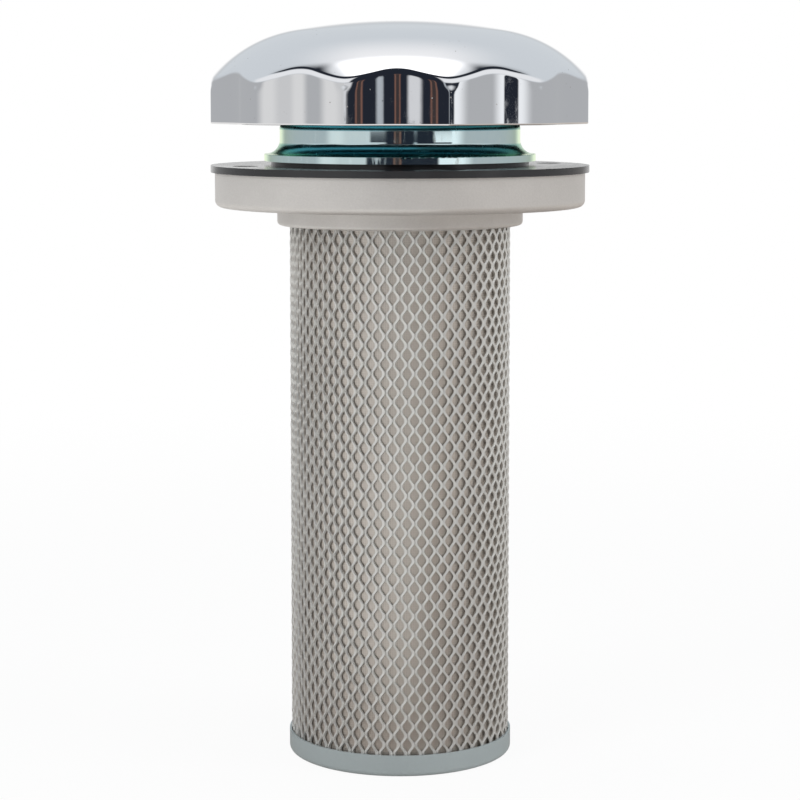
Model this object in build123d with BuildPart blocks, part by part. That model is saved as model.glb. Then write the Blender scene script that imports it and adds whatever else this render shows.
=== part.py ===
from build123d import *

import os
from math import asin, cos, radians, sin, sqrt, tan

# Tank filler and breather: a chromed bayonet cap with an air filter inside it, on a
# plated filler neck that screws into a cast mounting flange, with a strainer basket
# of expanded metal and fine wire cloth hanging below.
#
# Millimetres, +Z up. The origin is on the axis, in the plane of the flange's
# underside, which sits on the tank. The cap is seated with its ears in the notches
# of the neck, so it can be lifted off, or turned clockwise to lock.

# Filler neck, plated steel
neck_diameter = 52.8
neck_height = 7.85
neck_wall = 1.7
neck_top_radius = 2.5
neck_root_radius = 3.0
neck_plate_reach = 3.4
neck_plate_thickness = 1.5
neck_edge_radius = 0.4
thread_step = 0.4
thread_clearance = 0.05
rim_thickness = 1.2
rim_width = 6.9
lip_thickness = 1.0
lip_depth = 4.2

# Bayonet closure: ears on the cap, notches, ramps and stops on the neck
ear_count = 3
first_ear_angle = 90.0
ear_half_angle = 11.0
ear_hold = 1.5
ear_lip_clearance = 0.2
notch_half_angle = 14.0
notch_clearance = 0.4
lock_turn = 50.0
ramp_angle = 24.0
ramp_rise = 1.2
stop_width_angle = 5.0
stop_gap_angle = 1.5
stop_depth = 1.6

# Mounting flange, an aluminium casting
bolt_circle_diameter = 70.0
bolt_hole_diameter = 5.6
bolt_count = 4
first_bolt_angle = 18.0
bolt_edge_distance = 5.6
flange_thickness = 7.6
flange_corner_radius = 1.5
spigot_wall = 1.9
spigot_height = 4.0
spigot_corner_radius = 0.8
basket_ledge = 0.8
basket_clearance = 0.25

# Rubber parts of the base
gasket_overhang = 0.9
gasket_thickness = 1.5
seal_ring_setback = 1.5
seal_ring_thickness = 0.95
rubber_bore_clearance = 0.3

# Strainer basket
basket_length = 117.5
sleeve_thickness = 0.9
cloth_thickness = 0.3
basket_fit = 0.05
mesh_columns = 10
mesh_rows = 12
mesh_plain_edge = 3.0
strand_width = 1.7
bond_length = 3.4
collar_wall = 0.5
collar_lip_thickness = 0.8
collar_lip_clearance = 0.1
collar_setback = 0.4
hoop_width = 5.0
hoop_thickness = 0.5
hoop_setback = 0.2
end_cap_wall = 0.4
end_cap_floor = 0.8
end_cap_height = 4.7
end_cap_corner_radius = 1.0

# Cap shell, chromed sheet steel with finger flutes round its skirt
cap_diameter = 85.3
cap_height = 22.4
skirt_overlap = 1.2
shell_wall = 1.0
crown_radius = 200.0
knuckle_radius = 30.0
knuckle_width = 20.65
shoulder_radius = 2.6
flute_count = 12
flute_depth = 1.7
flute_dish_width = 8.4
flute_dish_radius = 40.0
ridge_radius = 3.0
first_flute_angle = -91.2

# Cap inside: seal, pan, filter element and the stud that holds them
seal_thickness = 2.0
seal_mouth_setback = 2.3
seal_rim_setback = 0.8
seal_fit = 0.3
sheet = 0.8
pan_skirt_clearance = 2.95
pan_rim_height = 3.2
pan_corner_radius = 1.0
vent_count = 6
vent_diameter = 4.8
vent_circle_diameter = 23.0
core_diameter = 31.8
core_wall = 0.6
core_slot_count = 8
core_slot_width = 6.0
core_slot_margin = 3.0
foam_setback = 4.0
foam_clearance = 0.3
core_clearance = 0.1
stud_diameter = 6.0
stud_hole_clearance = 0.2
stud_thread_fit = 0.03
stud_head_diameter = 22.0
stud_head_thickness = 1.5
stud_tail = 1.0
washer_diameter = 12.8
washer_thickness = 1.0
spring_sheet = 0.7
spring_rise = 0.6
nut_across_flats = 10.0
nut_height = 5.0
bayonet_sheet = 1.2
bayonet_hub_margin = 1.6
bayonet_cone_run = 4.0
bayonet_disc_width = 3.5

# Heights, from the underside of the flange
flange_top = flange_thickness
gasket_top = flange_top + gasket_thickness
ring_top = gasket_top + seal_ring_thickness
plate_top = ring_top + neck_plate_thickness
neck_top = plate_top + neck_height
rim_underside = neck_top - rim_thickness
lip_bottom = neck_top - lip_depth
basket_bottom = -spigot_height - basket_length
mesh_bottom = basket_bottom + end_cap_floor
mesh_top = -hoop_setback
cap_bottom = neck_top - skirt_overlap
cap_top = cap_bottom + cap_height
pan_underside = neck_top + seal_thickness
pan_floor = pan_underside + sheet
boss_underside = pan_underside - sheet
hub_underside = boss_underside - bayonet_sheet
ear_top = lip_bottom - ear_lip_clearance
ear_bottom = ear_top - bayonet_sheet
spring_bottom = hub_underside - spring_rise - spring_sheet
washer_bottom = spring_bottom - washer_thickness
nut_bottom = washer_bottom - nut_height
stud_bottom = nut_bottom - stud_tail

# Radii of the neck, from its wall inwards and outwards
neck_radius = neck_diameter / 2
bore_radius = neck_radius - neck_wall
plate_radius = neck_radius + neck_plate_reach
neck_thread_radius = neck_radius - thread_step
rubber_bore_radius = neck_thread_radius + rubber_bore_clearance
mouth_radius = neck_radius - rim_width
lip_radius = mouth_radius + lip_thickness
ear_radius = mouth_radius + ear_hold
notch_radius = ear_radius + notch_clearance

# Radii of the flange, of its rubber and of the basket that hangs in it
bolt_circle_radius = bolt_circle_diameter / 2
flange_radius = bolt_circle_radius + bolt_edge_distance
gasket_radius = flange_radius + gasket_overhang
seal_ring_radius = plate_radius - seal_ring_setback
collar_lip_radius = neck_thread_radius - collar_lip_clearance
basket_bore_radius = collar_lip_radius - basket_ledge
spigot_radius = basket_bore_radius + spigot_wall
collar_radius = basket_bore_radius - basket_clearance
basket_seat_radius = collar_radius - collar_wall
sleeve_radius = basket_seat_radius - basket_fit
sleeve_inner_radius = sleeve_radius - sleeve_thickness
cloth_radius = sleeve_inner_radius - basket_fit
cloth_inner_radius = cloth_radius - cloth_thickness
hoop_radius = cloth_inner_radius - basket_fit
hoop_inner_radius = hoop_radius - hoop_thickness

# Radii of the cap and of what it holds
cap_radius = cap_diameter / 2
knuckle_start_radius = cap_radius - knuckle_width
pan_radius = cap_radius - flute_depth - shell_wall - pan_skirt_clearance
foam_radius = pan_radius - foam_setback
core_radius = core_diameter / 2
foam_bore_radius = core_radius + 2 * core_clearance
seal_inner_radius = mouth_radius + seal_mouth_setback
seal_outer_radius = neck_radius - seal_rim_setback
boss_radius = seal_inner_radius - seal_fit
stud_radius = stud_diameter / 2
stud_hole_radius = stud_radius + stud_hole_clearance
washer_radius = washer_diameter / 2
bayonet_hub_radius = washer_radius + bayonet_hub_margin
bayonet_flat_radius = bayonet_hub_radius + bayonet_cone_run
bayonet_disc_radius = bayonet_flat_radius + bayonet_disc_width
ear_angles = [first_ear_angle + turn * 360 / ear_count for turn in range(ear_count)]


def polar(radius, angle):
    """The point at a radius and an angle in degrees."""
    return (radius * cos(radians(angle)), radius * sin(radians(angle)))


def nearest_corner(sketch, x, z):
    """The corner of a half section that lies at x, z."""
    return sketch.vertices().sort_by_distance((x, z, 0))[0]


def slices(radius, half_angle, middles):
    """Faces like slices of a pie, one about each of the middle angles."""
    with BuildSketch() as pie:
        for middle in middles:
            start = polar(radius, middle - half_angle)
            end = polar(radius, middle + half_angle)
            with BuildLine():
                Line((0, 0), start)
                ThreePointArc(start, polar(radius, middle), end)
                Line(end, (0, 0))
            make_face()
    return pie.sketch


def ring(outer_radius, inner_radius, bottom, top):
    """A plain flat-ended ring about the axis."""
    with BuildPart() as plain:
        with BuildSketch(Plane.XY.offset(bottom)):
            Circle(outer_radius)
            Circle(inner_radius, mode=Mode.SUBTRACT)
        extrude(amount=top - bottom)
    return plain.part


def dome_centres():
    """The centres of the crown arc and of the knuckle arc that carries it on, in x, z."""
    crown = (0, cap_top - crown_radius)
    slope = asin(knuckle_start_radius / crown_radius)
    reach = crown_radius - knuckle_radius
    return crown, (reach * sin(slope), crown[1] + reach * cos(slope))


def dome_height(radius, inset=0.0):
    """The height of the dome at a radius, on a surface that lies inset inside the outer one."""
    crown, knuckle = dome_centres()
    slope = asin(knuckle_start_radius / crown_radius)
    if radius <= (crown_radius - inset) * sin(slope):
        return crown[1] + sqrt((crown_radius - inset) ** 2 - radius**2)
    return knuckle[1] + sqrt((knuckle_radius - inset) ** 2 - (radius - knuckle[0]) ** 2)


def fluted_outline(inset=0.0):
    """The outline of the skirt: dished flutes, with flanks that rise to rounded ridges."""
    step = 360 / flute_count
    ridge = cap_radius - inset
    valley = ridge - flute_depth
    dish = flute_dish_radius + inset
    half_width = flute_dish_width / 2
    rise = dish - sqrt(dish**2 - half_width**2)
    with BuildSketch() as outline:
        with BuildLine():
            for turn in range(flute_count):
                middle = first_flute_angle + turn * step
                left = Vector(valley + rise, -half_width).rotate(Axis.Z, middle)
                right = Vector(valley + rise, half_width).rotate(Axis.Z, middle)
                flute = ThreePointArc(left, polar(valley, middle), right)
                TangentArc(right, polar(ridge, middle + step / 2), tangent=flute % 1)
                TangentArc(left, polar(ridge, middle - step / 2), tangent=-(flute % 0))
        make_face()
        reach = outline.vertices().sort_by(lambda corner: Vector(corner.X, corner.Y).length)
        fillet(reach[-flute_count:], ridge_radius - inset)
    return outline.sketch


def domed_body(inset=0.0):
    """The cap as a solid: a dome cut down to the fluted outline, with a rounded shoulder."""
    join = (knuckle_start_radius / crown_radius) * (crown_radius - inset)
    edge = cap_radius
    top = dome_height(0, inset)
    with BuildPart() as body:
        with BuildSketch(Plane.XZ):
            with BuildLine():
                middle = (join / 2, dome_height(join / 2, inset))
                meet = (join, dome_height(join, inset))
                beyond = ((join + edge) / 2, dome_height((join + edge) / 2, inset))
                end = (edge, dome_height(edge, inset))
                ThreePointArc((0, top), middle, meet)
                ThreePointArc(meet, beyond, end)
                Polyline(end, (edge, cap_bottom), (0, cap_bottom), (0, top))
            make_face()
        revolve(axis=Axis.Z)
        with BuildSketch(Plane.XY.offset(cap_bottom)):
            add(fluted_outline(inset))
        extrude(amount=cap_height, mode=Mode.INTERSECT)
        crease = body.edges().filter_by(Axis.Z, reverse=True)
        below_crown = meet[1] - shoulder_radius / 2
        fillet(
            crease.filter_by_position(Axis.Z, cap_bottom + shoulder_radius, below_crown),
            shoulder_radius - inset,
        )
    return body.part


def mounting_flange_part():
    """The casting: flange, spigot into the tank, tapped bore, ledge and bolt holes."""
    with BuildPart() as casting:
        with BuildSketch():
            Circle(flange_radius)
        extrude(amount=flange_thickness)
        fillet(casting.edges().group_by(Axis.Z)[0], flange_corner_radius)
        with BuildSketch():
            Circle(spigot_radius)
        extrude(amount=-spigot_height)
        fillet(casting.edges().group_by(Axis.Z)[0], spigot_corner_radius)
        with BuildSketch():
            Circle(neck_thread_radius + thread_clearance)
        extrude(amount=flange_thickness, mode=Mode.SUBTRACT)
        with BuildSketch(Plane.XY.offset(-spigot_height)):
            Circle(basket_bore_radius)
        extrude(amount=spigot_height, mode=Mode.SUBTRACT)
        with Locations((0, 0, flange_top)):
            with PolarLocations(bolt_circle_radius, bolt_count, first_bolt_angle):
                Hole(bolt_hole_diameter / 2)
    return casting.part


def flange_gasket_part():
    """The flat gasket on the flange, punched with the same bolt holes."""
    with BuildPart() as gasket:
        with BuildSketch(Plane.XY.offset(flange_top)):
            Circle(gasket_radius)
            Circle(rubber_bore_radius, mode=Mode.SUBTRACT)
            with PolarLocations(bolt_circle_radius, bolt_count, first_bolt_angle):
                Circle(bolt_hole_diameter / 2, mode=Mode.SUBTRACT)
        extrude(amount=gasket_thickness)
    return gasket.part


def filler_neck_part():
    """The plated neck: threaded tail, clamping plate, wall, rolled rim and bayonet lip."""
    tail_end = collar_lip_thickness
    with BuildPart() as neck:
        with BuildSketch(Plane.XZ) as section:
            with BuildLine():
                Polyline(
                    (mouth_radius, lip_bottom),
                    (mouth_radius, neck_top),
                    (neck_radius, neck_top),
                    (neck_radius, plate_top),
                    (plate_radius, plate_top),
                    (plate_radius, ring_top),
                    (neck_thread_radius, ring_top),
                    (neck_thread_radius, tail_end),
                    (bore_radius, tail_end),
                    (bore_radius, rim_underside),
                    (lip_radius, rim_underside),
                    (lip_radius, lip_bottom),
                    close=True,
                )
            make_face()
            fillet(nearest_corner(section, neck_radius, neck_top), neck_top_radius)
            fillet(nearest_corner(section, neck_radius, plate_top), neck_root_radius)
            fillet(nearest_corner(section, plate_radius, plate_top), neck_edge_radius)
            fillet(nearest_corner(section, bore_radius, rim_underside), neck_top_radius / 2)
            fillet(nearest_corner(section, mouth_radius, neck_top), neck_edge_radius)
        revolve(axis=Axis.Z)
        with BuildSketch(Plane.XY.offset(lip_bottom)):
            add(slices(notch_radius, notch_half_angle, ear_angles))
        extrude(amount=lip_depth, mode=Mode.SUBTRACT)
        ramp_run = mouth_radius * radians(ramp_angle)
        ramp_back = -ramp_run / 2 - lip_thickness
        through_lip = 3 * lip_thickness
        for middle in ear_angles:
            edge_angle = middle - notch_half_angle - ramp_angle / 2
            outward = Vector(*polar(1, edge_angle), 0)
            ramp_plane = Plane(
                origin=outward * (mouth_radius - lip_thickness) + Vector(0, 0, lip_bottom),
                x_dir=outward.cross(Vector(0, 0, 1)),
                z_dir=outward,
            )
            with BuildSketch(ramp_plane):
                with BuildLine():
                    Polyline(
                        (ramp_back, -lip_thickness),
                        (ramp_run / 2, -lip_thickness),
                        (ramp_run / 2, 0),
                        (-ramp_run / 2, ramp_rise),
                        (ramp_back, ramp_rise),
                        close=True,
                    )
                make_face()
            extrude(amount=through_lip, mode=Mode.SUBTRACT)
        stop_middles = [
            middle - lock_turn - ear_half_angle - stop_gap_angle - stop_width_angle / 2
            for middle in ear_angles
        ]
        with BuildSketch(Plane.XY.offset(lip_bottom - stop_depth)):
            add(slices(lip_radius, stop_width_angle / 2, stop_middles))
            Circle(mouth_radius, mode=Mode.SUBTRACT)
        extrude(amount=stop_depth)
    return neck.part


def basket_collar_part():
    """The pressed collar of the basket: a lip that the neck clamps and a short sleeve."""
    with BuildPart() as collar:
        with BuildSketch(Plane.XZ):
            with BuildLine():
                Polyline(
                    (basket_seat_radius, collar_setback - spigot_height),
                    (basket_seat_radius, collar_lip_thickness),
                    (collar_lip_radius, collar_lip_thickness),
                    (collar_lip_radius, 0),
                    (collar_radius, 0),
                    (collar_radius, collar_setback - spigot_height),
                    close=True,
                )
            make_face()
        revolve(axis=Axis.Z)
    return collar.part


def expanded_sleeve_part():
    """The outer sleeve of expanded metal, with six-sided openings in staggered rows."""
    lowest = mesh_bottom + mesh_plain_edge
    highest = mesh_top - spigot_height - mesh_plain_edge / 2
    row_pitch = (highest - lowest) / (mesh_rows + 1)
    column_angle = 360 / mesh_columns
    half_width = sleeve_radius * sin(radians(column_angle / 2)) - strand_width / 2
    half_height = row_pitch - bond_length / 2 - strand_width / 2
    planes = []
    for row in range(mesh_rows):
        height = lowest + (row + 1) * row_pitch
        for column in range(mesh_columns):
            angle = (column + row % 2 / 2) * column_angle
            outward = Vector(*polar(1, angle), 0)
            across = outward.cross(Vector(0, 0, 1))
            planes.append(Plane(origin=(0, 0, height), x_dir=across, z_dir=outward))
    with BuildPart() as sleeve:
        add(ring(sleeve_radius, sleeve_inner_radius, mesh_bottom, mesh_top))
        with BuildSketch(*planes):
            with BuildLine():
                Polyline(
                    (0, -half_height),
                    (half_width, -bond_length / 2),
                    (half_width, bond_length / 2),
                    (0, half_height),
                    (-half_width, bond_length / 2),
                    (-half_width, -bond_length / 2),
                    close=True,
                )
            make_face()
        extrude(amount=2 * sleeve_radius, mode=Mode.SUBTRACT)
    return sleeve.part


def basket_end_cap_part():
    """The cup that closes the basket, with a rounded bottom edge."""
    outer = basket_seat_radius + end_cap_wall
    with BuildPart() as cup:
        with BuildSketch(Plane.XY.offset(basket_bottom)):
            Circle(outer)
        extrude(amount=end_cap_height)
        fillet(cup.edges().group_by(Axis.Z)[0], end_cap_corner_radius)
        with BuildSketch(Plane.XY.offset(mesh_bottom)):
            Circle(basket_seat_radius)
        extrude(amount=end_cap_height, mode=Mode.SUBTRACT)
    return cup.part


def cap_shell_part():
    """The chromed shell: the domed body less the same body one wall smaller."""
    with BuildPart() as shell:
        add(domed_body())
        add(domed_body(shell_wall), mode=Mode.SUBTRACT)
    return shell.part


def breather_pan_part():
    """The pressed pan under the filter: a boss that centres the seal, vents and a rim."""
    rim_top = pan_floor + pan_rim_height
    with BuildPart() as pan:
        with BuildSketch(Plane.XZ) as section:
            with BuildLine():
                Polyline(
                    (stud_hole_radius, boss_underside),
                    (boss_radius, boss_underside),
                    (boss_radius, pan_underside),
                    (pan_radius, pan_underside),
                    (pan_radius, rim_top),
                    (pan_radius - sheet, rim_top),
                    (pan_radius - sheet, pan_floor),
                    (boss_radius - sheet, pan_floor),
                    (boss_radius - sheet, pan_underside),
                    (stud_hole_radius, pan_underside),
                    close=True,
                )
            make_face()
            fillet(nearest_corner(section, pan_radius, pan_underside), pan_corner_radius)
        revolve(axis=Axis.Z)
        with Locations((0, 0, pan_underside)):
            with PolarLocations(vent_circle_diameter / 2, vent_count):
                Hole(vent_diameter / 2)
    return pan.part


def element_core_part():
    """The slotted tube inside the filter ring, which also spaces the pan off the dome."""
    foot = pan_underside
    top = dome_height(core_radius, shell_wall) - core_clearance
    slot_height = top - foot - 2 * core_slot_margin
    with BuildPart() as core:
        add(ring(core_radius, core_radius - core_wall, foot, top))
        with BuildSketch(Plane.YZ) as slot:
            with Locations((0, (top + foot) / 2)):
                Rectangle(core_slot_width, slot_height)
        slot_cut = extrude(amount=core_diameter, mode=Mode.PRIVATE)
        with PolarLocations(0, core_slot_count):
            add(slot_cut, mode=Mode.SUBTRACT)
    return core.part


def shell_stud_part():
    """The stud that is welded inside the dome by its broad head."""
    head_radius = stud_head_diameter / 2
    head_top = dome_height(head_radius, shell_wall) - core_clearance
    with BuildPart() as stud:
        with BuildSketch(Plane.XY.offset(head_top - stud_head_thickness)):
            Circle(head_radius)
        extrude(amount=stud_head_thickness)
        with BuildSketch(Plane.XY.offset(stud_bottom)):
            Circle(stud_radius)
        extrude(amount=head_top - stud_bottom - stud_head_thickness)
    return stud.part


def bayonet_plate_part():
    """The pressed plate under the pan: a raised hub, a flat disc and the bayonet ears."""
    hub = bayonet_hub_radius
    flat = bayonet_flat_radius
    disc = bayonet_disc_radius
    fall = boss_underside - ear_top
    lean = bayonet_sheet * sqrt(fall**2 + bayonet_cone_run**2) / fall
    spread = bayonet_sheet * bayonet_cone_run / fall
    with BuildPart() as plate:
        with BuildSketch(Plane.XZ):
            with BuildLine():
                Polyline(
                    (stud_hole_radius, boss_underside),
                    (hub, boss_underside),
                    (flat, ear_top),
                    (disc, ear_top),
                    (disc, ear_bottom),
                    (flat + spread - lean, ear_bottom),
                    (hub + spread - lean, hub_underside),
                    (stud_hole_radius, hub_underside),
                    close=True,
                )
            make_face()
        revolve(axis=Axis.Z)
        with BuildSketch(Plane.XY.offset(ear_bottom)):
            add(slices(ear_radius, ear_half_angle, ear_angles))
            Circle((flat + disc) / 2, mode=Mode.SUBTRACT)
        extrude(amount=bayonet_sheet)
    return plate.part


def disc_spring_part():
    """The coned spring washer that loads the bayonet plate."""
    inner = stud_hole_radius
    outer = washer_radius
    with BuildPart() as spring:
        with BuildSketch(Plane.XZ):
            with BuildLine():
                Polyline(
                    (inner, hub_underside),
                    (outer, hub_underside - spring_rise),
                    (outer, spring_bottom),
                    (inner, spring_bottom + spring_rise),
                    close=True,
                )
            make_face()
        revolve(axis=Axis.Z)
    return spring.part


def stud_nut_part():
    """The hexagon nut on the end of the stud."""
    with BuildPart() as nut:
        with BuildSketch(Plane.XY.offset(nut_bottom)):
            RegularPolygon(nut_across_flats / 2, 6, major_radius=False)
            Circle(stud_radius + stud_thread_fit, mode=Mode.SUBTRACT)
        extrude(amount=nut_height)
    return nut.part


def save(name, solid):
    """Labels a finished piece and writes it under its own name."""
    solid.label = name
    export_step(solid, f"parts/{name}.step")


os.makedirs("parts", exist_ok=True)
foam_top = dome_height(foam_radius, shell_wall) - foam_clearance

save("mounting_flange", mounting_flange_part())
save("flange_gasket", flange_gasket_part())
save("neck_seal_ring", ring(seal_ring_radius, rubber_bore_radius, gasket_top, ring_top))
save("filler_neck", filler_neck_part())
save("basket_collar", basket_collar_part())
save("expanded_sleeve", expanded_sleeve_part())
save("filter_cloth", ring(cloth_radius, cloth_inner_radius, mesh_bottom, mesh_top))
save("basket_top_hoop", ring(hoop_radius, hoop_inner_radius, mesh_top - hoop_width, mesh_top))
save("basket_bottom_hoop", ring(hoop_radius, hoop_inner_radius, mesh_bottom, mesh_bottom + hoop_width))
save("basket_end_cap", basket_end_cap_part())
save("cap_seal", ring(seal_outer_radius, seal_inner_radius, neck_top, pan_underside))
save("cap_shell", cap_shell_part())
save("breather_pan", breather_pan_part())
save("element_core", element_core_part())
save("filter_foam", ring(foam_radius, foam_bore_radius, pan_floor, foam_top))
save("shell_stud", shell_stud_part())
save("bayonet_plate", bayonet_plate_part())
save("disc_spring", disc_spring_part())
save("stud_washer", ring(washer_radius, stud_hole_radius, washer_bottom, spring_bottom))
save("stud_nut", stud_nut_part())
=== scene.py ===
# %% [markdown]
# # A tank filler with its strainer basket
# The object is a chromed, fluted cap on a bright plated neck, two black rubber gaskets, a
# blasted aluminium flange and a long basket of expanded metal lined with wire cloth.
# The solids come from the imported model, which is loaded as a fixed frame. This script adds
# the surfaces that need more than flat facets: a mirror-smooth cap, the true expanded
# metal and the woven cloth. Every other piece keeps its solid, or a smoothed copy of it, and
# gets a finish of its own.

import bmesh
import bpy
import numpy as np
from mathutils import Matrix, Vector


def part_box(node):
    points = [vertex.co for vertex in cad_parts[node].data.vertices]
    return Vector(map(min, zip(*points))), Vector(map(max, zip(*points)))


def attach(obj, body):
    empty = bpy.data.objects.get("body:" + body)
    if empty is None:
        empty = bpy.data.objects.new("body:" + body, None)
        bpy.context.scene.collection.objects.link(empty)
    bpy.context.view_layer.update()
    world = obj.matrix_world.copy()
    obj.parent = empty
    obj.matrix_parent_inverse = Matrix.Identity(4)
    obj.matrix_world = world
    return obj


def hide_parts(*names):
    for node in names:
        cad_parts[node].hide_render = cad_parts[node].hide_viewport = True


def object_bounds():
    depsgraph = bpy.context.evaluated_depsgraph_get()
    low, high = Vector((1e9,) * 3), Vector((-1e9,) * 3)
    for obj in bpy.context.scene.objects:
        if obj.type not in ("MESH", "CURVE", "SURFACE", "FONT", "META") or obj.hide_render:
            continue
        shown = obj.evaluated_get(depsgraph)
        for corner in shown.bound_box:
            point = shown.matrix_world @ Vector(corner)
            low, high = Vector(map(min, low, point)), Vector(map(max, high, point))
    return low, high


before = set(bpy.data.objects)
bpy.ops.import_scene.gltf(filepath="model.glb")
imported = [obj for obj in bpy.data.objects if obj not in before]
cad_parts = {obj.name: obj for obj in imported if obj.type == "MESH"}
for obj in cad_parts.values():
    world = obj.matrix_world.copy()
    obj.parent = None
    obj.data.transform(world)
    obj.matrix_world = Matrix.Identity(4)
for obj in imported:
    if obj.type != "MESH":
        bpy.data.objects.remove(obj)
cad_low, cad_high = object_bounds()
MM = 0.001
DEGREE = float(np.pi / 180)
print("CAD box", tuple(round(value, 5) for value in (*cad_low, *cad_high)))

# %% [markdown]
# ## The camera
# A camera has a place, a direction and a focal length. They could be set by eye, but here they
# were fitted to rows and widths measured in the photograph. It was taken level with the cap's
# skirt, through a long lens. Most of the framing is a gentle downward tilt and the rest is lens
# shift, as if a level picture had been cropped, which keeps the basket's sides nearly parallel.

# %% The camera
PHOTO_SIDE = 800
FOCAL_PIXELS = 2332
SENSOR_MM = 36.0
HORIZON_ROW = 89.2
LENS_SHIFT = -0.1
CAMERA_DISTANCE = 513.5 * MM
CAMERA_HEIGHT = 25.6 * MM
NEAR_CLIP = 10 * MM

camera_data = bpy.data.cameras.new("camera")
camera_data.sensor_width = SENSOR_MM
camera_data.lens = SENSOR_MM * FOCAL_PIXELS / PHOTO_SIDE
camera_data.shift_y = LENS_SHIFT
camera_data.clip_start = NEAR_CLIP
camera = bpy.data.objects.new("camera", camera_data)
bpy.context.scene.collection.objects.link(camera)
bpy.context.scene.camera = camera
tilted_rows = PHOTO_SIDE / 2 - HORIZON_ROW + LENS_SHIFT * PHOTO_SIDE
tilt = np.arctan(tilted_rows / FOCAL_PIXELS)
camera.location = (0.0, -CAMERA_DISTANCE, CAMERA_HEIGHT)
camera.rotation_euler = (np.pi / 2 - tilt, 0.0, 0.0)
print("camera tilt in degrees", round(float(np.degrees(tilt)), 2))

# %% [markdown]
# ## Small tools for node trees
# A material is a tree of nodes. Written out node by node it takes many lines that say little,
# so these helpers keep each tree readable: one adds a node with its settings and inputs, one
# makes a smooth mask between two values, and one opens a node group, which is a part of a tree
# that several materials share.

# %% Helpers for single nodes
MIX_COLOURS = (6, 7)
MIX_RESULT = 2


def add(tree, kind, inputs=None, **settings):
    """Adds a node, then sets its settings and its inputs: numbers or other nodes' sockets."""
    made = tree.nodes.new(kind)
    for name, value in settings.items():
        setattr(made, name, value)
    for socket, value in (inputs or {}).items():
        if isinstance(value, bpy.types.NodeSocket):
            tree.links.new(value, made.inputs[socket])
        else:
            made.inputs[socket].default_value = value
    return made


def math(tree, operation, *values):
    """One arithmetic step, as a socket."""
    return add(tree, "ShaderNodeMath", dict(enumerate(values)), operation=operation).outputs[0]


def plus(tree, base, value, share):
    """The base plus a share of the value."""
    return math(tree, "MULTIPLY_ADD", value, share, base)


def rise(tree, value, low, high, bottom=0.0, top=1.0):
    """A smooth step: bottom below low, top above high."""
    inputs = {"Value": value, "From Min": low, "From Max": high, "To Min": bottom, "To Max": top}
    return add(tree, "ShaderNodeMapRange", inputs, interpolation_type="SMOOTHSTEP").outputs[0]


def band(tree, value, low, high, blur):
    """A mask that is 1 between low and high and falls off over blur on both sides."""
    start = rise(tree, value, low - blur, low + blur)
    end = rise(tree, value, high - blur, high + blur, 1.0, 0.0)
    return math(tree, "MULTIPLY", start, end)


def noise(tree, place, scale, detail):
    """The value of a noise texture at a place."""
    inputs = {"Vector": place, "Scale": scale, "Detail": detail}
    return add(tree, "ShaderNodeTexNoise", inputs).outputs[0]


# %% Helpers for colours and groups
def rgb(*parts):
    """A colour with full alpha."""
    return (*parts, 1.0)


def blend_colours(tree, mask, first, second):
    """First where the mask is 0 and second where it is 1."""
    inputs = {"Factor": mask, MIX_COLOURS[0]: first, MIX_COLOURS[1]: second}
    return add(tree, "ShaderNodeMix", inputs, data_type="RGBA").outputs[MIX_RESULT]


def open_group(name, inputs, outputs):
    """A new node group with named inputs and outputs, as (tree, input node, output node)."""
    tree = bpy.data.node_groups.new(name, "ShaderNodeTree")
    for label, (kind, value) in inputs.items():
        socket = tree.interface.new_socket(label, in_out="INPUT", socket_type=kind)
        if value is not None:
            socket.default_value = value
    for label, kind in outputs.items():
        tree.interface.new_socket(label, in_out="OUTPUT", socket_type=kind)
    return tree, tree.nodes.new("NodeGroupInput"), tree.nodes.new("NodeGroupOutput")


def use_group(tree, group, inputs):
    """Places a node group in a material's tree, and gives its outputs."""
    return add(tree, "ShaderNodeGroup", inputs, node_tree=group).outputs


# %% [markdown]
# ## The studio
# Chrome has no colour of its own: it shows the room. A room could be built from real panels
# and lamps, but then every shape in the chrome would hang on several of them. Here the world
# shader paints the room by direction, so that each shape in the chrome has one smooth mask of
# azimuth and elevation. The room is a white tent with a lamp box overhead and side panels
# whose bright tops end at a dark band. In front, where the camera stands, is a dark gap with a
# few strips of light in it. Camera rays see plain white, so the backdrop stays clean.

# %% The room's directions
world = bpy.data.worlds.new("studio")
bpy.context.scene.world = world
world.use_nodes = True
room = world.node_tree
room.nodes.clear()
direction = add(room, "ShaderNodeTexCoord").outputs["Generated"]
axes = add(room, "ShaderNodeSeparateXYZ", {0: direction}).outputs
towards_camera = math(room, "MULTIPLY", axes["Y"], -1.0)
azimuth = math(room, "ARCTAN2", axes["X"], towards_camera)
off_centre = math(room, "ABSOLUTE", azimuth)
upward_square = math(room, "POWER", axes["Z"], 2.0)
level_reach = math(room, "SQRT", math(room, "SUBTRACT", 1.0, upward_square))
elevation = math(room, "ARCTAN2", axes["Z"], level_reach)
over_the_top = math(room, "ARCTAN2", axes["Z"], axes["Y"])
sideways = math(room, "ABSOLUTE", math(room, "ARCTAN2", axes["X"], axes["Z"]))
print("the room is told apart by five angles, with azimuth 0 towards the camera")


# %% Masks of direction
def room_rise(value, low, high):
    """A smooth step from 0 up to 1 between two directions in degrees."""
    return rise(room, value, low * DEGREE, high * DEGREE)


def room_fall(value, low, high, bottom=0.0):
    """A smooth step from 1 down to the bottom between two directions in degrees."""
    return rise(room, value, low * DEGREE, high * DEGREE, 1.0, bottom)


def room_band(value, low, high, blur):
    """A mask between two directions in degrees."""
    return band(room, value, low * DEGREE, high * DEGREE, blur * DEGREE)


def joined(operation, masks):
    """Masks joined one after the other by the same arithmetic step."""
    result, *others = masks
    for mask in others:
        result = math(room, operation, result, mask)
    return result


def both(*masks):
    """Where every mask is: their product."""
    return joined("MULTIPLY", masks)


def either(*masks):
    """Where any mask is: the largest of them."""
    return joined("MAXIMUM", masks)


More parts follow.
